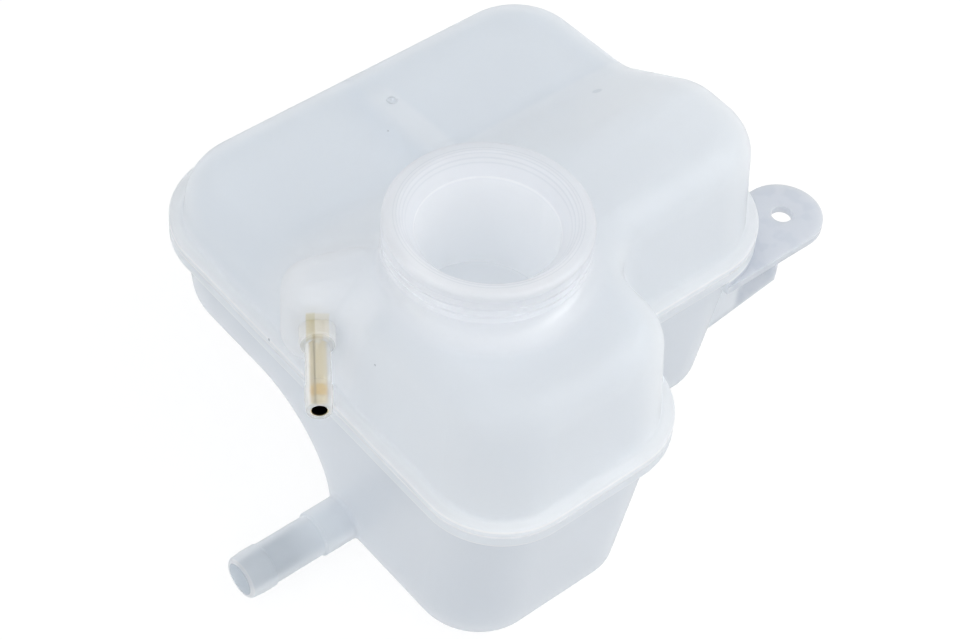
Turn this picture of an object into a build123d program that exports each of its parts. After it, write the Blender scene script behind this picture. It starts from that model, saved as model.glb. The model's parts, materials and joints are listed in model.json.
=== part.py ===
from build123d import *
import os
from math import radians, tan

# A coolant expansion tank: two translucent mouldings welded together at a flat flange, and a brass sleeve.
# Millimetres. The tank is drawn about the axis of its filler neck, with heights from the weld plane, and is
# then lowered so that the origin is on the neck axis at the level of the high roof.

# Walls: thickness, and their lean towards the roof and the floor
wall = 2.6
upper_draft = 5.0
lower_left_draft = 3.0
lower_draft = 7.0

# Plan of the walls on the weld plane, from the neck axis
left_x = -42.6
front_y = -57.5
notch_x = 36.0
notch_y = -16.8
right_x = 111.0
back_y = 109.7
front_left_round = 22.0
front_right_round = 23.0
notch_round = 14.0
right_round = 26.0
back_right_round = 24.0
back_left_round = 26.0

# Roof: a high plateau at the front, a ramp, and a low plateau at the back
high_roof = 42.0
low_roof = 22.0
low_roof_fall = 4.0
ramp_top_y = 22.4
ramp_foot_y = 55.7
ramp_round = 23.0
shoulder_round = 11.0

# Floor: a deep sump at the front and right, and a shallow pan at the back. The sump's back foot is a little
# rounder than the floor's edge, and the pan's foot is a share of the step's height
sump_depth = 72.5
pan_depth = 33.5
sump_back_y = 24.2
sump_back_draft = 8.0
sump_back_ease = 1.0
pan_foot_share = 0.72
floor_round = 11.0

# Weld flange: one lip on each half, with a groove where they meet
lip_reach = 4.0
upper_lip = 3.0
lower_lip = 4.5
lip_round = 0.9
lip_blend = 1.5
weld_groove = 0.5

# Filler neck: flared foot, threaded wall, rim band, funnel and drop tube
rim_height = 62.0
rim_band = 3.2
rim_proud = 1.3
rim_land = 4.9
rim_round = 1.6
thread_core_radius = 29.2
flare_blend = 5.5
neck_wall = 2.8
funnel_drop = 6.0
bore_radius = 21.0
drop_tube_wall = 2.0
drop_tube_end = 20.0

# Baffle walls under the roof
baffle_wall = 2.0
baffle_y = 51.7
baffle_x = 33.0
baffle_end_x = 84.0

# Hollow boss on the left wall, which runs back into the high plateau
boss_x = -40.8
boss_y = 25.8
boss_radius = 10.4
boss_run = 12.0
boss_turn = -18.0
boss_foot = 10.5
boss_foot_round = 7.0
boss_drop = 0.4
boss_round = 7.0
boss_blend = 5.0

# Return nipple, measured along itself from the boss axis
nipple_height = 28.0
nipple_turn = 234.2
nipple_tip = 39.7
nipple_radius = 3.75
nipple_bead_radius = 4.1
nipple_bead_length = 9.0
nipple_collar_radius = 5.4
nipple_collar_end = 15.0
nipple_lip_round = 0.6

# Brass sleeve moulded into the nipple
sleeve_radius = 2.6
sleeve_bore_radius = 2.2
sleeve_start = 4.4

# Hose stub on the left wall of the sump
stub_y = 11.5
stub_depth = 60.0
stub_tip_x = -79.3
stub_radius = 6.9
stub_bore_radius = 5.2
stub_bead_radius = 7.35
stub_bead_length = 9.5
stub_collar_radius = 7.6
stub_collar_x = -51.0
stub_lip_round = 1.2
stub_blend = 1.5

# Mounting ear at the right front corner, with its gusset
ear_x = 122.4
ear_y = -7.8
ear_radius = 13.4
ear_depth = 6.6
ear_thickness = 2.8
ear_hole_radius = 3.5
ear_start_x = 86.0
gusset_x = 108.3
gusset_turn = 303.5
gusset_wall = 2.6
gusset_lip = 6.2
gusset_foot = 47.0
gusset_run = 18.0

# Plan corners, anticlockwise from the front left one: place, outward direction, and round (minus if hollow)
CORNERS = [
    (left_x, front_y, -1, -1, front_left_round),
    (notch_x, front_y, 1, -1, front_right_round),
    (notch_x, notch_y, 1, -1, -notch_round),
    (right_x, notch_y, 1, -1, right_round),
    (right_x, back_y, 1, 1, back_right_round),
    (left_x, back_y, -1, 1, back_left_round),
]

# Reach of construction shapes past the tank, and the tolerance for finding the weld plane
far = 2 * (right_x + back_y)
near_plane = 0.01


def plan_corners(grow):
    """Plan corners with every side moved outwards by grow: x, y and signed round."""
    return [(x + grow * out_x, y + grow * out_y, bend + grow) for x, y, out_x, out_y, bend in CORNERS]


def plan(grow):
    """Face of the rounded plan on the weld plane, moved outwards by grow."""
    corners = plan_corners(grow)
    points = [(x, y) for x, y, bend in corners]
    return make_face(FilletPolyline(*points, radius=[abs(bend) for x, y, bend in corners], close=True))


def on_weld_plane(vertex):
    """Whether a vertex lies on the weld plane."""
    return abs(vertex.Z) < near_plane


def leaves_weld_plane(shape):
    """Whether an edge or face has vertices both on and off the weld plane."""
    return len({on_weld_plane(vertex) for vertex in shape.vertices()}) == 2


def drafted_block(height, left_draft, other_draft, inset):
    """Block of one half's plan: leaning walls with rounded corners, drawn in by inset."""
    corners = plan_corners(-inset)
    left = corners[0][0]
    points = [(-far if x == left else x, y) for x, y, bend in corners]
    bends = [0 if x == left else abs(bend) for x, y, bend in corners]
    outline = make_face(FilletPolyline(*points, radius=bends, close=True))
    block = extrude(outline, amount=abs(height), dir=(0, 0, height), taper=other_draft)
    lean = left_draft if height > 0 else -left_draft
    beyond_left = Box(far, 2 * far, 2 * far, align=(Align.MAX, Align.CENTER, Align.CENTER))
    block -= Pos(left, 0, 0) * Rot(0, lean, 0) * beyond_left
    for x, y, bend in corners:
        if x == left:
            uprights = [edge for edge in block.edges() if leaves_weld_plane(edge)]
            upright = min(uprights, key=lambda edge: edge.distance_to(Vertex(x, y, 0)))
            block = block.solid().fillet(bend, [upright])
    return block


def rim_edges(form):
    """Edges where the walls that stand on the weld plane meet the roof or the floor."""
    walls = [face for face in form.faces() if leaves_weld_plane(face)]
    return [edge for face in walls for edge in face.edges() if not any(map(on_weld_plane, edge.vertices()))]


def half_form(profile, height, left_draft, other_draft, rim, inset):
    """Solid form of one half, drawn in from its outer skin by inset, with its rim rounded."""
    section = offset(profile, amount=-inset) if inset else profile
    bar = extrude(Plane.YZ * section, amount=far, both=True)
    form = (drafted_block(height, left_draft, other_draft, inset) & bar).solid()
    return form.fillet(rim - inset, rim_edges(form))


def weld_lip(height):
    """Half of the weld flange: a band as high as the lip, its free edge rounded, its weld edge bevelled."""
    band = extrude(plan(lip_reach), amount=height)
    free_edges = [edge for edge in band.edges() if not any(map(on_weld_plane, edge.vertices()))]
    weld_edges = [edge for edge in band.edges() if all(map(on_weld_plane, edge.vertices()))]
    return band.solid().fillet(lip_round, free_edges).chamfer(weld_groove, None, weld_edges)


def blended(body, addition, bend):
    """Union of a body and an addition, with the seam between them rounded."""
    joined = (body + addition).solid()
    return joined.fillet(bend, new_edges(body, addition, combined=joined))


def turned(*points):
    """Solid of revolution about its own X axis, from (along, radius) points."""
    return revolve(make_face(Polyline(*points, close=True)), axis=Axis.X)


def rod(start, end, radius):
    """Plain round rod along its own X axis."""
    return turned((start, 0), (start, radius), (end, radius), (end, 0))


def boss_form(inset):
    """Upright boss with rounded ends, drawn in by inset."""
    slot = SlotCenterToCenter(boss_run, 2 * (boss_radius - inset))
    outline = Pos(boss_x, boss_y, boss_foot + inset) * Rot(0, 0, boss_turn) * Pos(boss_run / 2) * slot
    post = extrude(outline, amount=high_roof - boss_drop - boss_foot - 2 * inset)
    rims = post.edges().group_by(Axis.Z)
    return post.solid().fillet(boss_foot_round - inset, rims[0]).fillet(boss_round - inset, rims[-1])


def spout(start, collar_end, tip, radii, bead_length, lip):
    """Outside of a hose spout: a collar, a plain run, a bead with a slow lead, and a rounded lip."""
    collar, run, bead = radii
    bead_start = tip - bead_length
    body = turned(
        (start, 0),
        (start, collar),
        (collar_end, collar),
        (collar_end + collar - run, run),
        (bead_start, run),
        (bead_start + bead - run, bead),
        (tip - bead_length / 2, bead),
        (tip, run),
        (tip, 0),
    )
    return fillet(body.edges().filter_by(GeomType.CIRCLE).sort_by(Axis.X)[-1], lip)


# Profiles of the roof and the floor, seen from the right
roof_corners = [
    (-far, -far),
    (far, -far),
    (far, low_roof - (far - ramp_foot_y) * tan(radians(low_roof_fall))),
    (ramp_foot_y, low_roof),
    (ramp_top_y, high_roof),
    (-far, high_roof),
]
roof_rounds = [0, 0, 0, ramp_round, ramp_round, 0]
roof_profile = make_face(FilletPolyline(*roof_corners, radius=roof_rounds, close=True))

sump_step = sump_depth - pan_depth
sump_back_run = sump_step * tan(radians(sump_back_draft))
floor_corners = [
    (-far, far),
    (-far, -sump_depth),
    (sump_back_y, -sump_depth),
    (sump_back_y + sump_back_run, -pan_depth),
    (far, -pan_depth),
    (far, far),
]
floor_rounds = [0, 0, floor_round + sump_back_ease, pan_foot_share * sump_step, 0, 0]
floor_profile = make_face(FilletPolyline(*floor_corners, radius=floor_rounds, close=True))

# Outer skin and cavity of each half
upper_form, upper_cavity = (
    half_form(roof_profile, rim_height, upper_draft, upper_draft, shoulder_round, inset)
    for inset in (0, wall)
)
lower_form, lower_cavity = (
    half_form(floor_profile, -sump_depth - wall, lower_left_draft, lower_draft, floor_round, inset)
    for inset in (0, wall)
)

# Filler neck: one turned profile from the roof, up to the rim, and down the funnel and the drop tube
roof_underside = high_roof - wall
thread_top = rim_height - rim_band
rim_radius = thread_core_radius + rim_proud
funnel_radius = rim_radius - rim_land
neck_inside = thread_core_radius - neck_wall
drop_tube_radius = bore_radius + drop_tube_wall
funnel_foot = rim_height - funnel_drop
neck_points = [
    (thread_core_radius, roof_underside),
    (thread_core_radius, thread_top),
    (rim_radius, thread_top + rim_proud),
    (rim_radius, rim_height),
    (funnel_radius, rim_height),
    (bore_radius, funnel_foot),
    (bore_radius, drop_tube_end),
    (drop_tube_radius, drop_tube_end),
    (drop_tube_radius, funnel_foot - drop_tube_wall),
    (neck_inside, funnel_foot),
    (neck_inside, roof_underside),
]
neck_rounds = [0, 0, 0, rim_round, rim_round, rim_round, 0, 0, 0, 0, 0]
neck_profile = make_face(FilletPolyline(*neck_points, radius=neck_rounds, close=True))
neck = revolve(Plane.XZ * neck_profile, axis=Axis.Z)
neck_core = extrude(Circle(thread_core_radius), amount=thread_top)
neck_opening = extrude(Circle(neck_inside), amount=rim_height)

# Baffle walls, hung from the roof and cut to the outer skin
cross_align = (Align.MIN, Align.CENTER, Align.MIN)
long_align = (Align.CENTER, Align.MIN, Align.MIN)
cross_baffle = Box(baffle_end_x - baffle_x, baffle_wall, rim_height, align=cross_align)
long_baffle = Box(baffle_wall, back_y - baffle_y, rim_height, align=long_align)
baffles = Pos(baffle_x, baffle_y) * (cross_baffle + long_baffle) & upper_form

# Boss on the left wall with its hollow, and the nipple that leaves it level
boss, boss_hollow = (boss_form(inset) for inset in (0, wall))
nipple_place = Plane((boss_x, boss_y, nipple_height), x_dir=Vector(1, 0, 0).rotate(Axis.Z, nipple_turn))
nipple_radii = (nipple_collar_radius, nipple_radius, nipple_bead_radius)
nipple = nipple_place * spout(
    sleeve_start, nipple_collar_end, nipple_tip, nipple_radii, nipple_bead_length, nipple_lip_round
)
sleeve_bore = nipple_place * rod(sleeve_start, nipple_tip, sleeve_radius)
nipple_bore = nipple_place * rod(sleeve_start, nipple_tip, sleeve_bore_radius)

upper_skin = blended(upper_form, boss, boss_blend)
upper_skin = blended(upper_skin, neck_core, flare_blend)
upper_skin = blended(upper_skin, weld_lip(upper_lip), lip_blend)
upper_shell = upper_skin - upper_cavity - boss_hollow - neck_opening + neck + baffles + nipple - sleeve_bore
brass_insert = sleeve_bore - nipple_bore

# Hose stub, level with the sump and pointing left
stub_place = Plane((0, stub_y, -stub_depth), x_dir=(-1, 0, 0))
stub_radii = (stub_collar_radius, stub_radius, stub_bead_radius)
stub = stub_place * spout(
    -left_x - floor_round, -stub_collar_x, -stub_tip_x, stub_radii, stub_bead_length, stub_lip_round
)
stub_bore = stub_place * rod(0, -stub_tip_x, stub_bore_radius)

# Ear: a round tab that runs back into the corner of the tank, and a gusset under its front edge
ear_arm = Rectangle(ear_x - ear_start_x, 2 * ear_radius, align=(Align.MAX, Align.CENTER))
ear_tab = Circle(ear_radius) + ear_arm
ear = Pos(ear_x, ear_y, -ear_depth) * extrude(ear_tab, amount=-ear_thickness)
ear_hole = Pos(ear_x, ear_y, -ear_depth) * extrude(Circle(ear_hole_radius), amount=-ear_thickness)
ear_root = extrude(plan(lip_reach) & Pos(ear_x, ear_y) * ear_tab, amount=-ear_depth - ear_thickness)
gusset_top = ear_depth + ear_thickness
gusset_face = make_face(
    Polyline(
        (0, -gusset_top),
        (0, -gusset_top - gusset_lip),
        (-gusset_run, -gusset_foot),
        (-gusset_run, -gusset_top),
        close=True,
    )
)
gusset_place = Plane(
    (gusset_x, ear_y - ear_radius, 0),
    x_dir=Vector(1, 0, 0).rotate(Axis.Z, gusset_turn),
    z_dir=Vector(0, -1, 0).rotate(Axis.Z, gusset_turn),
)
gusset = gusset_place * extrude(gusset_face, amount=gusset_wall / 2, both=True)

lower_skin = blended(lower_form, stub, stub_blend)
lower_skin = blended(lower_skin, weld_lip(-lower_lip), lip_blend)
lower_shell = lower_skin + ear + ear_root + gusset - lower_cavity - stub_bore - ear_hole

os.makedirs("parts", exist_ok=True)
pieces = {"upper_shell": upper_shell, "lower_shell": lower_shell, "brass_insert": brass_insert}
for name, piece in pieces.items():
    export_step(Pos(0, 0, -high_roof) * piece, f"parts/{name}.step")
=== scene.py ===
import json
import logging
import math
from collections.abc import Iterable, Sequence
from dataclasses import dataclass, field
from enum import Enum
from typing import Any

import bmesh
import bpy
from mathutils import Matrix, Vector

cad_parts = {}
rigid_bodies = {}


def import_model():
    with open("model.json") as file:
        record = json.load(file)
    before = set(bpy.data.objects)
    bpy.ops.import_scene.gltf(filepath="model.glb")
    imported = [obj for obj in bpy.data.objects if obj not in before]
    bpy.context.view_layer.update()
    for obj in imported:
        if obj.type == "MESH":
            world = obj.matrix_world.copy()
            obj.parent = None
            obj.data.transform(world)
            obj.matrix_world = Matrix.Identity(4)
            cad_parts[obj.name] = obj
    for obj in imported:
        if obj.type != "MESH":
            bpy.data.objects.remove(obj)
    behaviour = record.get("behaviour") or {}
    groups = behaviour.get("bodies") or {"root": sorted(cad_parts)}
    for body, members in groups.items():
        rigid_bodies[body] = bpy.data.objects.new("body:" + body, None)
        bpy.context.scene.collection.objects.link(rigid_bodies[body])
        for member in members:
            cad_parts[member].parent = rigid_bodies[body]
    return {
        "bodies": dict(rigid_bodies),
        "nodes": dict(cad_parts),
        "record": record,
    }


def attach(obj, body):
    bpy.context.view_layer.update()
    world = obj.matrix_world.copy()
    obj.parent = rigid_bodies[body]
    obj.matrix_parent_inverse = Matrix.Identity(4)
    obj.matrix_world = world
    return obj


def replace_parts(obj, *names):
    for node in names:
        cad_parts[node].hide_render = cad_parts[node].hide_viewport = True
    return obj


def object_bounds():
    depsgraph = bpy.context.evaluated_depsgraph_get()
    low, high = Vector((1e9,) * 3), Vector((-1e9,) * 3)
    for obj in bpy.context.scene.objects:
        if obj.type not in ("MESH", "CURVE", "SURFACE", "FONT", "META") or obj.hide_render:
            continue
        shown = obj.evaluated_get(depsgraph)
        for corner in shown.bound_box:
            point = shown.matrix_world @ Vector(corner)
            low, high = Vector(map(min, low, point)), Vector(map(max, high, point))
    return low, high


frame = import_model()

for leftover in set(bpy.data.objects) - set(frame["nodes"].values()) - set(frame["bodies"].values()):
    bpy.data.objects.remove(leftover)
CAD_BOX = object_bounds()

LOG = logging.getLogger("expansion_tank")
MM = 0.001
MERGE_M = 1e-7
BODY = "root"
MOUNTS = {mount["name"]: mount for mount in frame["record"]["mounts"]}
UP = Vector((0, 0, 1))

Tree = bpy.types.NodeTree
Socket = bpy.types.NodeSocket


class Slot(Enum):
    """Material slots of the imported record."""

    PLASTIC = "natural_polypropylene"
    BRASS = "brass"


class Shell(Enum):
    """The two moulded halves, by their CAD nodes."""

    UPPER = "upper_shell"
    LOWER = "lower_shell"


class NodeKind(Enum):
    """Shader nodes that the finishes and the studio are made of."""

    COORDINATES = "ShaderNodeTexCoord"
    GEOMETRY = "ShaderNodeNewGeometry"
    LIGHT_PATH = "ShaderNodeLightPath"
    SEPARATE = "ShaderNodeSeparateXYZ"
    COMBINE = "ShaderNodeCombineXYZ"
    MATH = "ShaderNodeMath"
    VECTOR_MATH = "ShaderNodeVectorMath"
    RANGE = "ShaderNodeMapRange"
    MIX = "ShaderNodeMix"
    NOISE = "ShaderNodeTexNoise"
    BUMP = "ShaderNodeBump"
    PRINCIPLED = "ShaderNodeBsdfPrincipled"
    DIFFUSE = "ShaderNodeBsdfDiffuse"
    EMISSION = "ShaderNodeEmission"
    ADD_SHADER = "ShaderNodeAddShader"
    MIX_SHADER = "ShaderNodeMixShader"
    BACKGROUND = "ShaderNodeBackground"
    MATERIAL_OUTPUT = "ShaderNodeOutputMaterial"
    WORLD_OUTPUT = "ShaderNodeOutputWorld"


class Measure(Enum):
    """What a zone of the plastic is measured by, in millimetres unless its comment says otherwise."""

    X = "x"
    Y = "y"
    Z = "z"
    # From the axes of the filler neck, the boss and the hose stub
    FROM_NECK = "from_neck"
    FROM_BOSS = "from_boss"
    FROM_STUB = "from_stub"
    # From the middle of the rounded corner that carries the ear
    FROM_CORNER = "from_corner"
    # From the nearest line of the weld, and from the nearest edge of the filler bore
    OFF_SEAM = "off_seam"
    OFF_EDGE = "off_edge"
    # Wave from -1 to 1, one for each ring in the funnel
    RING_WAVE = "ring_wave"
    # Along the nipple, from its axis, to its one side, and to either side
    ALONG = "along"
    ACROSS = "across"
    SIDE = "side"
    ASIDE = "aside"


@dataclass(frozen=True)
class Limit:
    """One limit of a zone: a measure, its value just outside, and its value fully within."""

    measure: Measure
    outside: float
    within: float


@dataclass(frozen=True)
class Zone:
    """A part of the moulding that differs from the rest in colour, clearness or gloss."""

    name: str
    limits: tuple[Limit, ...]
    hex_code: str | None = None
    let_through: float | None = None
    roughness: float | None = None


@dataclass(frozen=True)
class Spot:
    """A small round mark in the plastic."""

    place_mm: tuple[float, float, float]
    radius_mm: float
    hex_code: str


@dataclass(frozen=True)
class Lamp:
    """A soft round lamp that points at the tank."""

    name: str
    place_m: tuple[float, float, float]
    size_m: float
    power_w: float


def linear(hex_code: str) -> tuple[float, float, float, float]:
    """Turns an sRGB hex value into linear colour.

    Args:
        hex_code: Six hex digits after a hash sign.

    Returns:
        Linear red, green and blue, and full alpha.
    """
    shares = [int(hex_code[start:start + 2], 16) / 255 for start in (1, 3, 5)]
    red, green, blue = (c / 12.92 if c <= 0.04045 else ((c + 0.055) / 1.055) ** 2.4 for c in shares)
    return red, green, blue, 1.0


def add_node(
    tree: Tree,
    kind: NodeKind,
    settings: dict[str, Any] | None = None,
    inputs: dict[str | int, Any] | None = None,
) -> bpy.types.Node:
    """Adds one node, with its settings and its inputs.

    Args:
        tree: Node tree that the node joins.
        kind: Kind of the node.
        settings: Properties of the node by name.
        inputs: Input sockets by name or place, each given a value or the output socket that feeds it.

    Returns:
        The new node.
    """
    node = tree.nodes.new(kind.value)
    for name, value in (settings or {}).items():
        setattr(node, name, value)
    for name, value in (inputs or {}).items():
        if isinstance(value, Socket):
            tree.links.new(value, node.inputs[name])
        else:
            node.inputs[name].default_value = value
    return node


def new_material(name: str) -> tuple[bpy.types.Material, Tree]:
    """Makes an empty node material.

    Args:
        name: Name of the material.

    Returns:
        The material and its node tree.
    """
    material = bpy.data.materials.new(name)
    material.use_nodes = True
    material.node_tree.nodes.clear()
    return material, material.node_tree


def new_piece(
    name: str, mesh: bmesh.types.BMesh, material: bpy.types.Material
) -> bpy.types.Object:
    """Turns a bmesh into a piece that rides on the tank.

    Args:
        name: Name of the piece.
        mesh: Finished bmesh, in metres in the tank's frame. It is freed here.
        material: Finish of the piece.

    Returns:
        The piece's object.
    """
    data = bpy.data.meshes.new(name)
    mesh.to_mesh(data)
    mesh.free()
    data.materials.append(material)
    piece = bpy.data.objects.new(name, data)
    bpy.context.scene.collection.objects.link(piece)
    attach(piece, BODY)
    LOG.info("%s: %d faces", name, len(data.polygons))
    return piece


def pointed(spot: Vector, way: Vector) -> Matrix:
    """Gives the transform that moves the origin to a spot and turns Z a way."""
    return Matrix.Translation(spot) @ way.to_track_quat("Z", "Y").to_matrix().to_4x4()


def spun(
    profile: Sequence[tuple[float, float]], closed: bool, steps: int, placing: Matrix
) -> bmesh.types.BMesh:
    """Spins a profile into a closed shape and sets it in place.

    Args:
        profile: Radius and height of each point, in metres.
        closed: Whether the last point joins the first.
        steps: Steps in the full turn.
        placing: Transform of the shape after it is spun about Z.

    Returns:
        The finished bmesh.
    """
    mesh = bmesh.new()
    points = [mesh.verts.new((radius, 0, height)) for radius, height in profile]
    following = [*points[1:], points[0]] if closed else points[1:]
    edges = [mesh.edges.new(pair) for pair in zip(points, following)]
    bmesh.ops.spin(
        mesh,
        geom=[*points, *edges],
        cent=(0, 0, 0),
        axis=UP,
        angle=math.tau,
        steps=steps,
        use_merge=True,
    )
    bmesh.ops.remove_doubles(mesh, verts=mesh.verts, dist=MERGE_M)
    bmesh.ops.recalc_face_normals(mesh, faces=mesh.faces)
    bmesh.ops.transform(mesh, matrix=placing, verts=mesh.verts)
    return mesh


def zone_share(tree: Tree, ranges: Iterable[tuple[Socket, float, float]]) -> Socket:
    """Works out how far a place lies inside a zone.

    Args:
        tree: Node tree of the material.
        ranges: For each limit a measure, its value outside the zone, and its value fully within.

    Returns:
        A share that is 1 where every measure is within and 0 where one is outside.
    """
    total: Socket | None = None
    for measure, outside, within in ranges:
        values = {"Value": measure, "From Min": outside, "From Max": within}
        share = add_node(tree, NodeKind.RANGE, {"interpolation_type": "SMOOTHSTEP"}, values).outputs[0]
        if total:
            share = add_node(tree, NodeKind.MATH, {"operation": "MULTIPLY"}, {0: total, 1: share}).outputs[0]
        total = share
    return total


def layered(tree: Tree, base: Any, layers: Iterable[tuple[Socket, Any]]) -> Any:
    """Lays colours or numbers over a base, one after another, each in its own zone.

    Args:
        tree: Node tree of the material.
        base: Colour or number outside the zones.
        layers: For each zone its share, and the colour or number within it.

    Returns:
        The mixed colour or number.
    """
    for share, value in layers:
        is_colour = isinstance(value, tuple)
        # A Mix node keeps its numbers and its colours on sockets of their own
        under, over, out = (6, 7, 2) if is_colour else (2, 3, 0)
        settings = {"data_type": "RGBA" if is_colour else "FLOAT"}
        inputs = {"Factor": share, under: base, over: value}
        base = add_node(tree, NodeKind.MIX, settings, inputs).outputs[out]
    return base


UPPER_WALL = Limit(Measure.Z, -40.0, -34.0)
ON_NECK = Limit(Measure.FROM_NECK, 37.0, 29.5)
ON_NIPPLE = Limit(Measure.ALONG, 2.0, 5.0)
BRASS_SHOWS = (
    Limit(Measure.ALONG, 5.0, 6.0),
    Limit(Measure.ALONG, 16.6, 16.0),
    Limit(Measure.ACROSS, 8.6, 7.4),
)
# Grey of the low roof: painted shade where the inner walls darken the chamber below
ROOF_PAINTED_SHADE_HEX = "#EAEFF4"
# White of the fine lines: painted highlight on edges, and at the weld partly the milkier weld
LINE_HEX = "#FFFFFF"
LINE_LET_THROUGH = 0.3

# Each zone lies over those before it
TANK_ZONES = (
    # Painted shade: the lower half darkens towards the bottom
    Zone("lower_painted_shade", (Limit(Measure.Z, -46.0, -52.0),), "#E2E6EB"),
    # Painted shade on the low roof beside and behind the inner walls
    Zone(
        "roof_right_painted_shade",
        (Limit(Measure.X, 36.5, 39.5), Limit(Measure.Y, 55.0, 58.0), UPPER_WALL),
        ROOF_PAINTED_SHADE_HEX,
    ),
    Zone(
        "roof_left_painted_shade",
        (Limit(Measure.X, 31.0, 25.0), Limit(Measure.Y, 44.0, 60.0), UPPER_WALL),
        ROOF_PAINTED_SHADE_HEX,
    ),
    Zone("roof_back_painted_shade", (Limit(Measure.Y, 88.0, 96.0), UPPER_WALL), ROOF_PAINTED_SHADE_HEX),
    # Painted light: the neck is whitened; its clearness and gloss are the plastic's own
    Zone("neck", (ON_NECK, Limit(Measure.Z, -24.0, -20.0)), "#FBFCFE", let_through=0.55, roughness=0.3),
    # Painted shade: the rim's top is greyed below the whitened neck
    Zone("rim_painted_shade", (ON_NECK, Limit(Measure.Z, 12.5, 14.5)), "#F1F2F5"),
    # Painted shade: rings of the thread seen through the neck's wall
    Zone(
        "thread_painted_shade_in_funnel",
        (
            Limit(Measure.RING_WAVE, 0.0, 0.9),
            Limit(Measure.FROM_NECK, 23.2, 23.8),
            Limit(Measure.FROM_NECK, 28.0, 27.6),
            Limit(Measure.Z, 13.5, 14.5),
        ),
        "#E7E9ED",
    ),
    # Painted light: the filler bore is whitened
    Zone(
        "filler_bore_painted_light",
        (Limit(Measure.FROM_NECK, 22.4, 21.4), Limit(Measure.Z, 14.0, 12.5)),
        "#FFFFFF",
        let_through=0.3,
    ),
    # Painted shade: the plastic round the boss is greyed; its lower let-through is the thicker plastic's own
    Zone(
        "boss",
        (Limit(Measure.FROM_BOSS, 22.0, 15.0), Limit(Measure.Z, 1.5, 0.2), UPPER_WALL),
        "#EAEDF1",
        let_through=0.12,
    ),
    Zone("brass_seen_pale", (*BRASS_SHOWS, Limit(Measure.ASIDE, 3.6, 3.0)), "#E5E1D6"),
    # Painted shade: the darker side of the brass seen through the collar and the boss
    Zone(
        "brass_painted_shade",
        (*BRASS_SHOWS, Limit(Measure.SIDE, -3.6, -3.0), Limit(Measure.SIDE, -0.6, -1.0)),
        "#D7D1BB",
    ),
    Zone("collar", (ON_NIPPLE, Limit(Measure.ACROSS, 6.0, 5.5)), let_through=0.25),
    Zone("nipple", (ON_NIPPLE, Limit(Measure.ACROSS, 5.4, 4.3)), let_through=0.62, roughness=0.16),
    # Painted shade: the solid ear is darkened; its lower let-through is the solid plastic's own
    Zone(
        "ear",
        (
            Limit(Measure.FROM_CORNER, 26.5, 29.5),
            Limit(Measure.X, 82.0, 93.0),
            Limit(Measure.Z, -46.0, -47.5),
        ),
        "#C9CDD5",
        let_through=0.15,
    ),
    # Painted shade: the solid stub is darkened; its lower let-through is the solid plastic's own
    Zone(
        "stub",
        (Limit(Measure.X, -40.0, -46.0), Limit(Measure.Z, -78.0, -82.0)),
        "#E7ECF1",
        let_through=0.45,
    ),
    # Painted shade in the stub's bore
    Zone("stub_bore_painted_shade", (Limit(Measure.X, -52.0, -62.0), Limit(Measure.FROM_STUB, 6.0, 5.5)), "#B6BFC8"),
    # Painted highlight on the stub's lip
    Zone("stub_lip_highlight", (Limit(Measure.X, -78.4, -78.8), Limit(Measure.FROM_STUB, 5.3, 5.6)), LINE_HEX),
    # The weld's white lines: partly the milkier weld, partly painted highlight along the flange's edges
    Zone("seam", (Limit(Measure.OFF_SEAM, 0.5, 0.25),), LINE_HEX, let_through=LINE_LET_THROUGH),
    # Painted highlight along the edges of the filler bore
    Zone("bore_edge_highlight", (Limit(Measure.OFF_EDGE, 0.55, 0.25),), LINE_HEX, let_through=LINE_LET_THROUGH),
)


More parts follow.
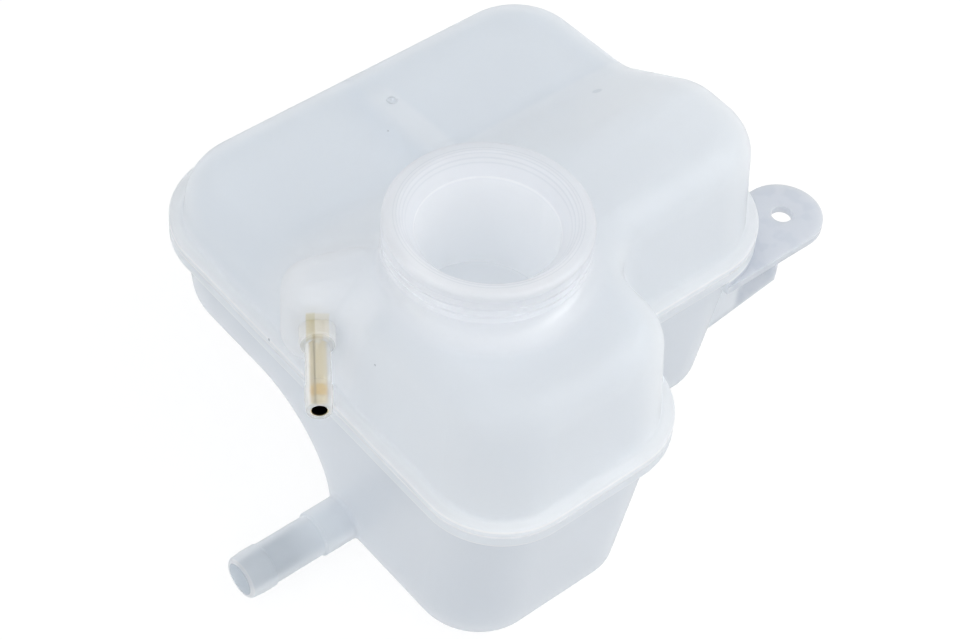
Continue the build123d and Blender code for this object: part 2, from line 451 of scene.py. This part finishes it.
@dataclass(frozen=True)
class NaturalPolypropylene:
    """Unfilled polypropylene as moulded: milky, see-through where it is thin, with a soft satin skin.

    Light that enters it is partly scattered at once and partly let through. The solid ear and stub look
    fuller and are darkened with painted shade; the roof between the inner walls, the lower half and the
    plastic round the boss are greyed with painted shade. The neck and the nipple are clearer; the neck's
    walls and the filler bore are whitened with painted light, and the rim is greyed with painted shade. The
    weld shows as fine white lines, partly the milkier weld and partly painted highlight along the flange's
    edges, and the edges of the filler bore and the stub's lip carry a painted highlight. Faint rings in the
    funnel are painted shade of the thread seen through the neck. Of two stripes on the collar and the boss,
    the pale one is the brass seen through them and the darker one beside it is painted shade of the brass.
    """

    body_hex: str = "#F2F5F8"
    cloud_hex: str = "#EFF3F7"
    # Colour of darker blotches on the ear
    blotch_hex: str = "#C3C8D1"
    roughness: float = 0.34
    # Haze inside the plastic bends light less than its own index of 1.49 does
    ior: float = 1.3
    scatter_mm: float = 12.0
    let_through: float = 0.5
    cloud_mm: float = 45.0
    blotch_mm: float = 7.0
    # Noise at which a darker blotch on the ear starts, and at which it is full
    blotch_range: tuple[float, float] = (0.48, 0.6)
    grain_mm: float = 0.7
    grain_depth_mm: float = 0.05
    grain_strength: float = 0.12
    ring_mm: float = 0.9
    # Heights of the weld's lines
    seams_mm: tuple[float, ...] = (-39.75, -42.0, -45.9)
    # Radius and height of the two edges of the filler bore
    bore_edges_mm: tuple[tuple[float, float], ...] = ((21.0, 14.0), (21.0, -21.8))
    boss_mm: tuple[float, float, float] = (-35.1, 23.9, 0.0)
    nipple_mm: tuple[float, float, float] = (-40.8, 25.8, -14.0)
    # Offsets that bring the ear's corner, with y turned round, and the stub's axis to the origin
    ear_corner_offset_mm: tuple[float, float, float] = (-85.0, 9.2, 0.0)
    stub_offset_mm: tuple[float, float, float] = (0.0, -11.5, 102.0)
    zones: tuple[Zone, ...] = TANK_ZONES
    # Ejector mark and moulded-in specks
    spots: tuple[Spot, ...] = (
        Spot((84.4, 44.9, -13.5), 2.0, "#DDE2E7"),
        Spot((-40.3, -1.2, -15.6), 0.45, "#B9BDC1"),
        Spot((-46.6, 41.0, -39.8), 0.6, "#BFC2C4"),
        Spot((25.0, 75.6, -21.4), 0.4, "#C2C6CA"),
    )
    # Share of a spot's radius within which it has its full colour
    spot_core: float = 0.6

    def seam_measure(self, tree: Tree, height: Socket) -> Socket:
        """Measures how far a place lies above or below the nearest line of the weld.

        Args:
            tree: Node tree of the material.
            height: Height of the place.

        Returns:
            The distance.
        """
        nearest: Socket | None = None
        for seam in self.seams_mm:
            above = add_node(tree, NodeKind.MATH, {"operation": "SUBTRACT"}, {0: height, 1: seam}).outputs[0]
            away = add_node(tree, NodeKind.MATH, {"operation": "ABSOLUTE"}, {0: above}).outputs[0]
            if nearest:
                pair = {0: nearest, 1: away}
                away = add_node(tree, NodeKind.MATH, {"operation": "MINIMUM"}, pair).outputs[0]
            nearest = away
        return nearest

    def neck_measures(self, tree: Tree, level: Socket, height: Socket) -> dict[Measure, Socket]:
        """Measures a place against the filler neck.

        Args:
            tree: Node tree of the material.
            level: The place with its height left out.
            height: Height of the place.

        Returns:
            The measures that start at the neck.
        """
        away = add_node(tree, NodeKind.VECTOR_MATH, {"operation": "LENGTH"}, {0: level}).outputs["Value"]
        section = add_node(tree, NodeKind.COMBINE, inputs={0: away, 1: height}).outputs[0]
        off_upper, off_lower = (
            add_node(
                tree, NodeKind.VECTOR_MATH, {"operation": "DISTANCE"}, {0: section, 1: (*edge, 0.0)}
            ).outputs["Value"]
            for edge in self.bore_edges_mm
        )
        pair = {0: off_upper, 1: off_lower}
        turns = {0: away, 1: math.tau / self.ring_mm}
        phase = add_node(tree, NodeKind.MATH, {"operation": "MULTIPLY"}, turns).outputs[0]
        return {
            Measure.FROM_NECK: away,
            Measure.OFF_EDGE: add_node(tree, NodeKind.MATH, {"operation": "MINIMUM"}, pair).outputs[0],
            Measure.RING_WAVE: add_node(tree, NodeKind.MATH, {"operation": "SINE"}, {0: phase}).outputs[0],
        }

    def nipple_measures(self, tree: Tree, place: Socket) -> dict[Measure, Socket]:
        """Measures a place against the return nipple.

        Args:
            tree: Node tree of the material.
            place: Object coordinates in millimetres.

        Returns:
            The measures that start at the nipple's root.
        """
        axis = Vector(MOUNTS["return_nipple"]["axis"])
        inputs = {0: place, 1: self.nipple_mm}
        root = add_node(tree, NodeKind.VECTOR_MATH, {"operation": "SUBTRACT"}, inputs).outputs[0]
        along, side = (
            add_node(
                tree, NodeKind.VECTOR_MATH, {"operation": "DOT_PRODUCT"}, {0: root, 1: way}
            ).outputs["Value"]
            for way in (axis, UP.cross(axis))
        )
        inputs = {0: root, 1: axis}
        arm = add_node(tree, NodeKind.VECTOR_MATH, {"operation": "CROSS_PRODUCT"}, inputs).outputs[0]
        across = add_node(tree, NodeKind.VECTOR_MATH, {"operation": "LENGTH"}, {0: arm}).outputs["Value"]
        return {
            Measure.ALONG: along,
            Measure.ACROSS: across,
            Measure.SIDE: side,
            Measure.ASIDE: add_node(tree, NodeKind.MATH, {"operation": "ABSOLUTE"}, {0: side}).outputs[0],
        }

    def ear_measure(self, tree: Tree, place: Socket) -> Socket:
        """Measures how far a place lies outside the rounded corner that carries the ear.

        Args:
            tree: Node tree of the material.
            place: Object coordinates in millimetres.

        Returns:
            The distance from the corner's middle.
        """
        inputs = {0: place, 1: (1.0, -1.0, 0.0), 2: self.ear_corner_offset_mm}
        offset = add_node(tree, NodeKind.VECTOR_MATH, {"operation": "MULTIPLY_ADD"}, inputs).outputs[0]
        inputs = {0: offset, 1: (0.0, 0.0, 0.0)}
        outward = add_node(tree, NodeKind.VECTOR_MATH, {"operation": "MAXIMUM"}, inputs).outputs[0]
        return add_node(tree, NodeKind.VECTOR_MATH, {"operation": "LENGTH"}, {0: outward}).outputs["Value"]

    def measures(self, tree: Tree, place: Socket) -> dict[Measure, Socket]:
        """Measures a place against each feature of the tank.

        Args:
            tree: Node tree of the material.
            place: Object coordinates in millimetres.

        Returns:
            Every measure that a zone may be limited by.
        """
        x, y, z = add_node(tree, NodeKind.SEPARATE, inputs={0: place}).outputs
        inputs = {0: place, 1: (1.0, 1.0, 0.0)}
        level = add_node(tree, NodeKind.VECTOR_MATH, {"operation": "MULTIPLY"}, inputs).outputs[0]
        inputs = {0: level, 1: self.boss_mm}
        from_boss = add_node(tree, NodeKind.VECTOR_MATH, {"operation": "DISTANCE"}, inputs).outputs["Value"]
        inputs = {0: place, 1: (0.0, 1.0, 1.0), 2: self.stub_offset_mm}
        stub = add_node(tree, NodeKind.VECTOR_MATH, {"operation": "MULTIPLY_ADD"}, inputs).outputs[0]
        from_stub = add_node(tree, NodeKind.VECTOR_MATH, {"operation": "LENGTH"}, {0: stub}).outputs["Value"]
        return {
            Measure.X: x,
            Measure.Y: y,
            Measure.Z: z,
            Measure.FROM_BOSS: from_boss,
            Measure.FROM_STUB: from_stub,
            Measure.FROM_CORNER: self.ear_measure(tree, place),
            Measure.OFF_SEAM: self.seam_measure(tree, z),
            **self.neck_measures(tree, level, z),
            **self.nipple_measures(tree, place),
        }

    def colour(self, tree: Tree, place: Socket, shares: dict[str, Socket]) -> Socket:
        """Mixes the colour of the plastic from place to place.

        Args:
            tree: Node tree of the material.
            place: Object coordinates in millimetres.
            shares: Share of each zone by its name.

        Returns:
            The colour.
        """
        cloud, blotch_noise = (
            add_node(
                tree,
                NodeKind.NOISE,
                inputs={"Vector": place, "Scale": 1 / size, "Detail": 2.0, "Roughness": 0.4},
            ).outputs["Fac"]
            for size in (self.cloud_mm, self.blotch_mm)
        )
        layers = [(cloud, linear(self.cloud_hex))]
        layers += [(shares[zone.name], linear(zone.hex_code)) for zone in self.zones if zone.hex_code]
        # Darker blotches, only on the ear
        ear_blotches = zone_share(tree, ((blotch_noise, *self.blotch_range), (shares["ear"], 0.0, 1.0)))
        layers.append((ear_blotches, linear(self.blotch_hex)))
        for spot in self.spots:
            inputs = {0: place, 1: spot.place_mm}
            off = add_node(tree, NodeKind.VECTOR_MATH, {"operation": "DISTANCE"}, inputs).outputs["Value"]
            share = zone_share(tree, ((off, spot.radius_mm, self.spot_core * spot.radius_mm),))
            layers.append((share, linear(spot.hex_code)))
        return layered(tree, linear(self.body_hex), layers)

    def build(self) -> bpy.types.Material:
        """Builds the material.

        Returns:
            The milky plastic of both halves.
        """
        material, tree = new_material("natural_polypropylene_moulded")
        metres = add_node(tree, NodeKind.COORDINATES).outputs["Object"]
        inputs = {0: metres, "Scale": 1 / MM}
        place = add_node(tree, NodeKind.VECTOR_MATH, {"operation": "SCALE"}, inputs).outputs[0]
        measures = self.measures(tree, place)
        shares: dict[str, Socket] = {}
        clear: list[tuple[Socket, float]] = []
        satin: list[tuple[Socket, float]] = []
        for zone in self.zones:
            ranges = [(measures[limit.measure], limit.outside, limit.within) for limit in zone.limits]
            share = zone_share(tree, ranges)
            shares[zone.name] = share
            if zone.let_through is not None:
                clear.append((share, zone.let_through))
            if zone.roughness is not None:
                satin.append((share, zone.roughness))
        # Light that meets the wall from inside always leaves it
        clear.append((add_node(tree, NodeKind.GEOMETRY).outputs["Backfacing"], 1.0))
        inputs = {"Vector": place, "Scale": 1 / self.grain_mm, "Detail": 3.0}
        grain = add_node(tree, NodeKind.NOISE, inputs=inputs).outputs["Fac"]
        inputs = {"Strength": self.grain_strength, "Distance": self.grain_depth_mm * MM, "Height": grain}
        bump = add_node(tree, NodeKind.BUMP, inputs=inputs)
        shader = add_node(
            tree,
            NodeKind.PRINCIPLED,
            {"subsurface_method": "RANDOM_WALK"},
            {
                "Base Color": self.colour(tree, place, shares),
                "Roughness": layered(tree, self.roughness, satin),
                "IOR": self.ior,
                "Subsurface Weight": 1.0,
                "Subsurface Radius": (1.0, 1.0, 1.0),
                "Subsurface Scale": self.scatter_mm * MM,
                "Transmission Weight": layered(tree, self.let_through, clear),
                "Normal": bump.outputs["Normal"],
            },
        )
        add_node(tree, NodeKind.MATERIAL_OUTPUT, inputs={"Surface": shader.outputs["BSDF"]})
        return material


@dataclass(frozen=True)
class RolledBrass:
    """Rolled brass tube: pale yellow metal with fine streaks along it.

    It has a dark line along its top, a painted highlight beside that line, a yellow band near its end, and
    painted shade deep in its bore.
    """

    bright_hex: str = "#F9ECCB"
    dull_hex: str = "#EBD6A8"
    # A dark line along the top of the tube
    dark_line_hex: str = "#8F7F4C"
    # Painted highlight on top of the tube, near its root
    highlight_hex: str = "#FFFCF2"
    band_hex: str = "#F0CB74"
    # Painted shade deep in the bore
    bore_shade_hex: str = "#3A2C14"
    roughness: float = 0.28
    streak_mm: float = 0.6
    # The dark line and the painted highlight lie on top, at these places across the tube
    top_mm: tuple[float, float] = (0.0, 0.5)
    dark_line_mm: float = -1.0
    dark_line_soft_mm: float = 0.3
    highlight_mm: tuple[float, float] = (-0.7, 0.9)
    highlight_soft_mm: float = 0.1
    # Places along the tube, from its outer end
    highlight_end_mm: tuple[float, float] = (-22.6, -23.0)
    band_mm: tuple[float, float] = (-7.6, -3.9)
    band_soft_mm: float = 0.2
    mouth_mm: float = -1.0
    mouth_soft_mm: float = 0.2
    bore_mm: float = 2.45
    bore_soft_mm: float = 0.05

    def build(self, tip: Vector, axis: Vector) -> bpy.types.Material:
        """Builds the material.

        Args:
            tip: Middle of the sleeve's outer end, in metres.
            axis: Way that the sleeve points.

        Returns:
            The brass of the sleeve.
        """
        material, tree = new_material("rolled_brass")
        metres = add_node(tree, NodeKind.COORDINATES).outputs["Object"]
        inputs = {0: metres, 1: tip}
        shifted = add_node(tree, NodeKind.VECTOR_MATH, {"operation": "SUBTRACT"}, inputs).outputs[0]
        inputs = {0: shifted, "Scale": 1 / MM}
        place = add_node(tree, NodeKind.VECTOR_MATH, {"operation": "SCALE"}, inputs).outputs[0]
        side, along, up = (
            add_node(
                tree, NodeKind.VECTOR_MATH, {"operation": "DOT_PRODUCT"}, {0: place, 1: way}
            ).outputs["Value"]
            for way in (UP.cross(axis), axis, UP)
        )
        inputs = {0: place, 1: axis}
        arm = add_node(tree, NodeKind.VECTOR_MATH, {"operation": "CROSS_PRODUCT"}, inputs).outputs[0]
        across = add_node(tree, NodeKind.VECTOR_MATH, {"operation": "LENGTH"}, {0: arm}).outputs["Value"]
        drawn = add_node(tree, NodeKind.COMBINE, inputs={0: side, 1: up}).outputs[0]
        inputs = {"Vector": drawn, "Scale": 1 / self.streak_mm, "Detail": 2.0}
        streaks = add_node(tree, NodeKind.NOISE, inputs=inputs).outputs["Fac"]
        on_top = (up, *self.top_mm)
        back, front = self.band_mm
        left, right = self.highlight_mm
        band = ((along, back - self.band_soft_mm, back), (along, front + self.band_soft_mm, front))
        # Painted highlight on top of the tube, near its root
        highlight = (
            (side, left - self.highlight_soft_mm, left),
            (side, right + self.highlight_soft_mm, right),
            (along, *self.highlight_end_mm),
            on_top,
        )
        # A dark line along the top of the tube
        seam = (
            (side, self.dark_line_mm - self.dark_line_soft_mm, self.dark_line_mm),
            (side, self.dark_line_mm + self.dark_line_soft_mm, self.dark_line_mm),
            on_top,
        )
        # Painted shade on the bore's wall beyond its mouth
        bore = (
            (across, self.bore_mm + self.bore_soft_mm, self.bore_mm),
            (along, self.mouth_mm + self.mouth_soft_mm, self.mouth_mm),
        )
        layers = (
            (streaks, linear(self.dull_hex)),
            (zone_share(tree, band), linear(self.band_hex)),
            (zone_share(tree, highlight), linear(self.highlight_hex)),
            (zone_share(tree, seam), linear(self.dark_line_hex)),
            (zone_share(tree, bore), linear(self.bore_shade_hex)),
        )
        colour = layered(tree, linear(self.bright_hex), layers)
        inputs = {"Base Color": colour, "Metallic": 1.0, "Roughness": self.roughness}
        shader = add_node(tree, NodeKind.PRINCIPLED, inputs=inputs)
        add_node(tree, NodeKind.MATERIAL_OUTPUT, inputs={"Surface": shader.outputs["BSDF"]})
        return material


@dataclass
class MouldedHalves:
    """The two halves of the tank, as the CAD nodes give them."""

    finish: NaturalPolypropylene = field(default_factory=NaturalPolypropylene)

    def dress(self) -> bpy.types.Material:
        """Gives both halves their plastic.

        Returns:
            The plastic, for the pieces that are moulded on the halves.
        """
        plastic = self.finish.build()
        for shell in Shell:
            node = frame["nodes"][shell.value]
            node.material_slots[0].material = plastic
            LOG.info("%s: dressed in %s", shell.value, plastic.name)
        return plastic


@dataclass
class CapThread:
    """The moulded screw thread round the filler neck."""

    core_mm: float = 29.1
    crest_mm: float = 30.6
    root_width_mm: float = 2.2
    crest_width_mm: float = 0.8
    pitch_mm: float = 3.0
    start_mm: float = 6.6
    end_mm: float = 15.4
    # The ridge rises over the run-out, which starts this far before the thread's end
    run_out_deg: float = 40.0
    before_end_deg: float = 30.0
    least_share: float = 0.02
    steps_per_turn: int = 120

    def run_out(self, mesh: bmesh.types.BMesh, turns: float) -> None:
        """Lowers the ridge towards both its ends.

        Args:
            mesh: The spun ridge.
            turns: Turns of the thread.
        """
        core = self.core_mm * MM
        for vertex in mesh.verts:
            spot = vertex.co
            radius = math.hypot(spot.x, spot.y)
            if radius < (self.core_mm + self.crest_mm) / 2 * MM:
                continue
            along = (spot.z - self.start_mm * MM) / (self.pitch_mm * MM) * 360
            from_start = along + self.before_end_deg
            from_end = turns * 360 + self.before_end_deg - along
            share = min(1.0, from_start / self.run_out_deg, from_end / self.run_out_deg)
            kept = core + (radius - core) * max(self.least_share, share)
            spot.x *= kept / radius
            spot.y *= kept / radius

    def build(self, plastic: bpy.types.Material) -> bpy.types.Object:
        """Spins the ridge's section up the neck and runs both its ends out.

        Args:
            plastic: Plastic of the halves.

        Returns:
            The thread's piece.
        """
        mesh = bmesh.new()
        half_root, half_crest = self.root_width_mm / 2, self.crest_width_mm / 2
        section = [
            (self.core_mm, -half_root),
            (self.crest_mm, -half_crest),
            (self.crest_mm, half_crest),
            (self.core_mm, half_root),
        ]
        corners = [mesh.verts.new((r * MM, 0, (self.start_mm + h) * MM)) for r, h in section]
        end = mesh.faces.new(corners)
        turns = (self.end_mm - self.start_mm) / self.pitch_mm
        bmesh.ops.spin(
            mesh,
            geom=[*corners, *end.edges, end],
            cent=(0, 0, 0),
            axis=UP,
            dvec=(0, 0, self.pitch_mm * MM / self.steps_per_turn),
            angle=math.tau * turns,
            steps=round(turns * self.steps_per_turn),
        )
        self.run_out(mesh, turns)
        bmesh.ops.recalc_face_normals(mesh, faces=mesh.faces)
        return new_piece("cap_thread", mesh, plastic)


@dataclass
class GateMark:
    """The nub left on the low roof where the plastic entered the mould."""

    place_mm: tuple[float, float, float] = (35.1, 86.4, -22.15)
    roof_normal: tuple[float, float, float] = (0.0, 0.07, 1.0)
    # Radius and height of the ring and its dimple, from the middle outwards
    profile_mm: tuple[tuple[float, float], ...] = (
        (0.0, 0.2),
        (0.5, 0.2),
        (0.8, 0.05),
        (1.1, 0.05),
        (1.3, 0.35),
        (1.6, 0.35),
        (1.9, -0.1),
        (1.9, -0.3),
        (0.0, -0.3),
    )
    steps: int = 48

    def build(self, plastic: bpy.types.Material) -> bpy.types.Object:
        """Spins the nub's profile on the roof.

        Args:
            plastic: Plastic of the halves.

        Returns:
            The nub's piece.
        """
        profile = [(radius * MM, height * MM) for radius, height in self.profile_mm]
        placing = pointed(Vector(self.place_mm) * MM, Vector(self.roof_normal))
        mesh = spun(profile, False, self.steps, placing)
        piece = new_piece("gate_mark", mesh, plastic)
        piece.data.shade_smooth()
        return piece


@dataclass
class BrassSleeve:
    """The brass tube moulded into the return nipple."""

    gap_mm: float = 0.03
    sunk_mm: float = 0.4
    thin_mm: float = 0.12
    steps: int = 96
    sharp_deg: float = 30.0
    finish: RolledBrass = field(default_factory=RolledBrass)

    def build(self) -> bpy.types.Object:
        """Spins the sleeve's wall about the nipple's axis.

        Returns:
            The sleeve's piece, in place of its CAD node.
        """
        spot = Vector(MOUNTS["return_nipple"]["pos_m"])
        axis = Vector(MOUNTS["return_nipple"]["axis"])
        corners = [vertex.co - spot for vertex in frame["nodes"]["brass_insert"].data.vertices]
        alongs = [corner.dot(axis) for corner in corners]
        radii = [(corner - corner.dot(axis) * axis).length for corner in corners]
        start, end = min(alongs), max(alongs) - self.sunk_mm * MM
        inner, outer = min(radii) + self.thin_mm * MM, max(radii) - self.gap_mm * MM
        wall = ((inner, start), (outer, start), (outer, end), (inner, end))
        mesh = spun(wall, True, self.steps, pointed(spot, axis))
        brass = self.finish.build(spot + max(alongs) * axis, axis)
        piece = new_piece("brass_sleeve", mesh, brass)
        piece.data.shade_smooth()
        piece.data.set_sharp_from_angle(angle=math.radians(self.sharp_deg))
        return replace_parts(piece, "brass_insert")


@dataclass
class Studio:
    """White floor, soft light and the photograph's camera."""

    azimuth_deg: float = -43.669
    elevation_deg: float = 48.695
    roll_deg: float = 5.5
    distance_m: float = 0.73378
    target_m: tuple[float, float, float] = (-0.001421, -0.001771, -0.022)
    lens_mm: float = 93.75
    sensor_mm: float = 36.0
    clip_m: tuple[float, float] = (0.01, 20.0)
    floor_hex: str = "#DCDDDE"
    floor_size_m: float = 6.0
    floor_gap_mm: float = 0.1
    floor_glow: float = 0.85
    floor_shade: float = 0.2
    # Linear colour of the room's even light, a little cool
    sky_colour: tuple[float, float, float, float] = (0.96, 0.98, 1.0, 1.0)
    ambient: float = 0.68
    lamps: tuple[Lamp, ...] = (
        Lamp("key", (0.50, -0.52, 0.60), 1.0, 3.6),
        Lamp("fill", (-0.65, -0.25, 0.50), 1.0, 2.0),
    )
    # Light passes many walls before it leaves the tank
    most_bounces: int = 32
    diffuse_bounces: int = 16
    clear_bounces: int = 24

    def camera(self) -> None:
        """Sets the camera where the photograph was taken from."""
        azimuth, elevation, roll = (
            math.radians(angle) for angle in (self.azimuth_deg, self.elevation_deg, self.roll_deg)
        )
        back = Vector((
            math.sin(azimuth) * math.cos(elevation),
            -math.cos(azimuth) * math.cos(elevation),
            math.sin(elevation),
        ))
        right = Vector((math.cos(azimuth), math.sin(azimuth), 0))
        up = back.cross(right)
        across = math.cos(roll) * right + math.sin(roll) * up
        upward = -math.sin(roll) * right + math.cos(roll) * up
        data = bpy.data.cameras.new("photo_camera")
        data.lens, data.sensor_width = self.lens_mm, self.sensor_mm
        data.clip_start, data.clip_end = self.clip_m
        camera = bpy.data.objects.new("photo_camera", data)
        turn = Matrix((across, upward, back)).transposed().to_4x4()
        camera.matrix_world = Matrix.Translation(Vector(self.target_m) + back * self.distance_m) @ turn
        bpy.context.scene.collection.objects.link(camera)
        bpy.context.scene.camera = camera

    def paper(self) -> bpy.types.Material:
        """Makes the floor's paper, which shows white and still takes the tank's shadow.

        Returns:
            The paper's material.
        """
        material, tree = new_material("white_paper_floor")
        ray = add_node(tree, NodeKind.LIGHT_PATH).outputs
        seen = ray["Is Camera Ray"]
        for sort in ("Is Glossy Ray", "Is Transmission Ray"):
            seen = add_node(tree, NodeKind.MATH, {"operation": "MAXIMUM"}, {0: seen, 1: ray[sort]}).outputs[0]
        grey = (self.floor_shade, self.floor_shade, self.floor_shade, 1)
        paper = add_node(tree, NodeKind.DIFFUSE, inputs={"Color": linear(self.floor_hex)}).outputs[0]
        shade = add_node(tree, NodeKind.DIFFUSE, inputs={"Color": grey}).outputs[0]
        glow = add_node(tree, NodeKind.EMISSION, inputs={"Strength": self.floor_glow}).outputs[0]
        white = add_node(tree, NodeKind.ADD_SHADER, inputs={0: glow, 1: shade}).outputs[0]
        surface = add_node(tree, NodeKind.MIX_SHADER, inputs={0: seen, 1: paper, 2: white}).outputs[0]
        add_node(tree, NodeKind.MATERIAL_OUTPUT, inputs={"Surface": surface})
        return material

    def floor(self) -> None:
        """Lays the white floor under the tank."""
        mesh = bmesh.new()
        bmesh.ops.create_grid(mesh, x_segments=1, y_segments=1, size=self.floor_size_m)
        bmesh.ops.translate(mesh, verts=mesh.verts, vec=(0, 0, CAD_BOX[0].z - self.floor_gap_mm * MM))
        data = bpy.data.meshes.new("floor")
        mesh.to_mesh(data)
        mesh.free()
        data.materials.append(self.paper())
        floor = bpy.data.objects.new("floor", data)
        bpy.context.scene.collection.objects.link(floor)

    def lights(self) -> None:
        """Hangs the soft lamps and sets the room's even light."""
        world = bpy.data.worlds.new("studio")
        bpy.context.scene.world = world
        world.use_nodes = True
        tree = world.node_tree
        tree.nodes.clear()
        inputs = {"Color": self.sky_colour, "Strength": self.ambient}
        sky = add_node(tree, NodeKind.BACKGROUND, inputs=inputs)
        add_node(tree, NodeKind.WORLD_OUTPUT, inputs={"Surface": sky.outputs[0]})
        for lamp in self.lamps:
            data = bpy.data.lights.new(lamp.name, "AREA")
            data.shape, data.size, data.energy = "DISK", lamp.size_m, lamp.power_w
            light = bpy.data.objects.new(lamp.name, data)
            light.matrix_world = pointed(Vector(lamp.place_m), Vector(lamp.place_m))
            bpy.context.scene.collection.objects.link(light)

    def build(self) -> None:
        """Builds the floor, the lights and the camera."""
        self.floor()
        self.lights()
        self.camera()
        bpy.context.scene.view_settings.view_transform = "Standard"
        cycles = bpy.context.scene.cycles
        cycles.max_bounces, cycles.diffuse_bounces = self.most_bounces, self.diffuse_bounces
        cycles.transmission_bounces, cycles.glossy_bounces = self.clear_bounces, self.clear_bounces
        # Blurred gloss loses light that passes several walls
        cycles.blur_glossy = 0.0


def main() -> None:
    """Dresses the tank piece by piece, then sets the studio round it."""
    logging.basicConfig(level=logging.INFO, format="%(name)s: %(message)s")
    plastic = MouldedHalves().dress()
    CapThread().build(plastic)
    GateMark().build(plastic)
    BrassSleeve().build()
    Studio().build()


if __name__ == "__main__":
    main()
